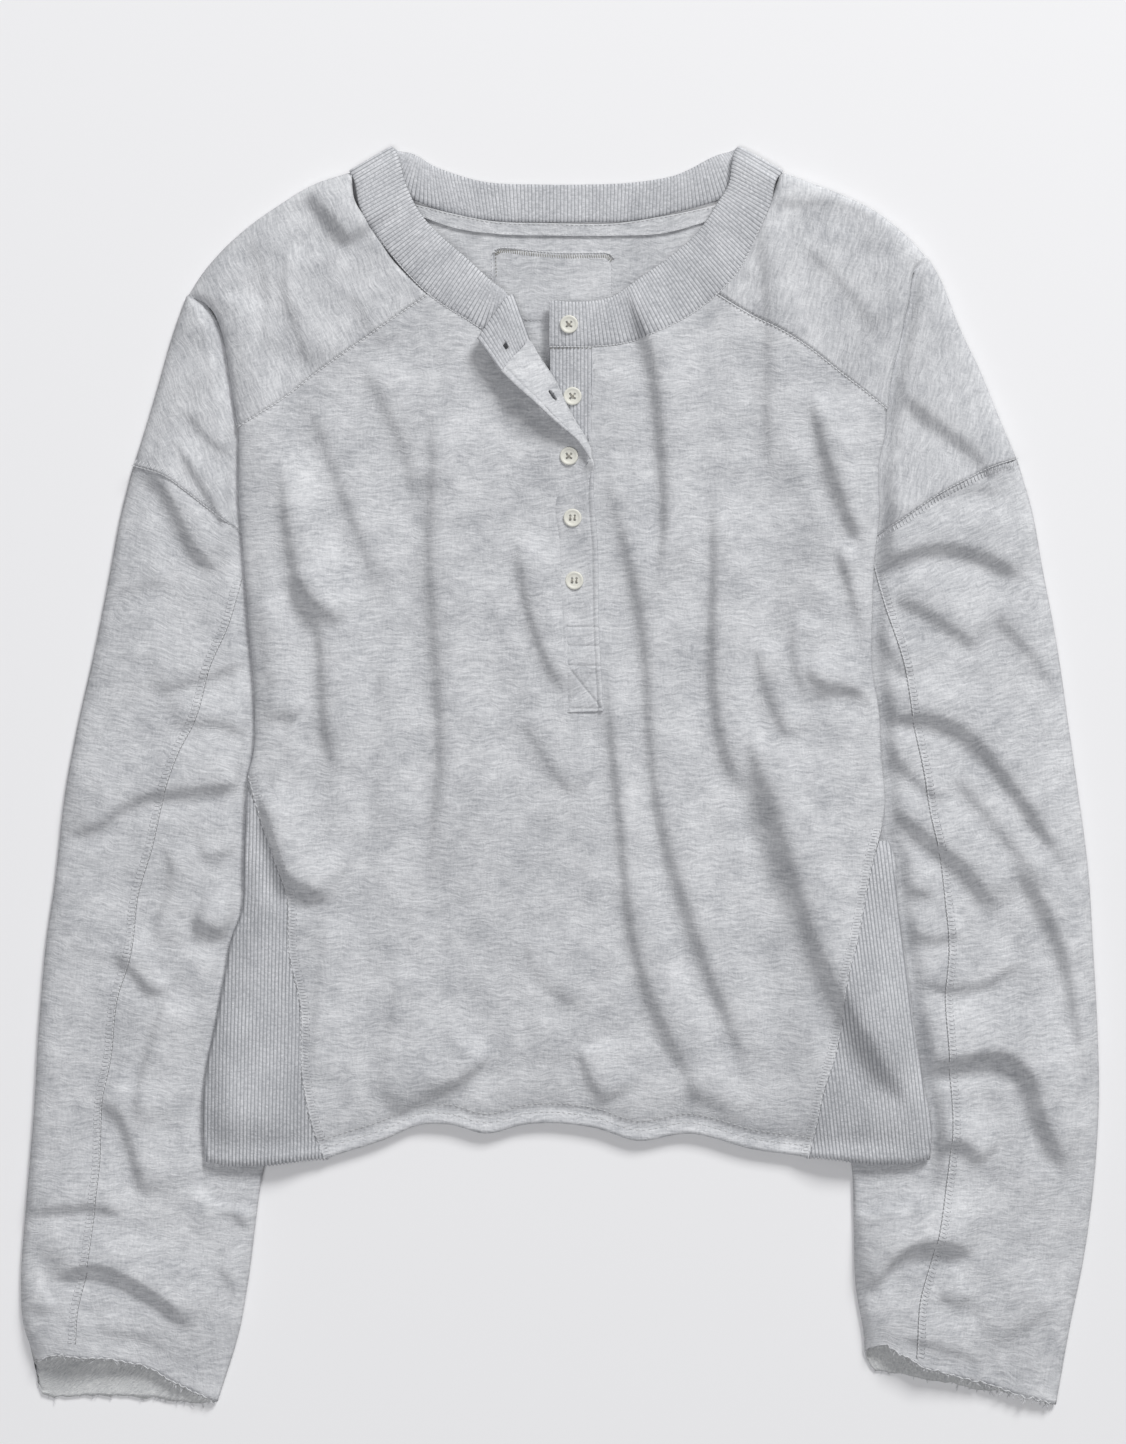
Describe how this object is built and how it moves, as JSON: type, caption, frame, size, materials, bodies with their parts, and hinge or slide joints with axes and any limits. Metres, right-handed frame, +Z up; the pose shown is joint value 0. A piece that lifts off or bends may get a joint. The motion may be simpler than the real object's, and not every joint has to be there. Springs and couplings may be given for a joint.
{
  "type": "henley shirt laid flat",
  "caption": "Cropped long-sleeve henley shirt laid flat: marl jersey with yoke shoulders, rib neckband, rib side gussets and a half placket turned back at the neck.",
  "frame": {"origin": "middle of the footprint, on the table the shirt lies on", "axes": "+X towards the wearer's left, +Y from the hem to the neck, +Z up from the table"},
  "size_m": [0.6031, 0.7042, 0.0127],
  "materials": {
    "marl_jersey": "matt slub jersey, light grey marl",
    "marl_rib": "matt one-by-one rib, light grey marl",
    "button": "satin cream button"
  },
  "bodies": {
    "root": {"back_body": "marl_jersey", "front_body": "marl_jersey", "yoke_right": "marl_jersey", "yoke_left": "marl_jersey", "sleeve_right": "marl_jersey", "sleeve_left": "marl_jersey", "neck_tape": "marl_jersey", "neck_patch": "marl_jersey", "buttonhole_placket": "marl_jersey", "neckband": "marl_rib", "gusset_right": "marl_rib", "gusset_left": "marl_rib", "button_placket": "marl_rib", "button_1": "button", "button_2": "button", "button_3": "button", "button_4": "button", "button_5": "button"}
  },
  "joints": []
}
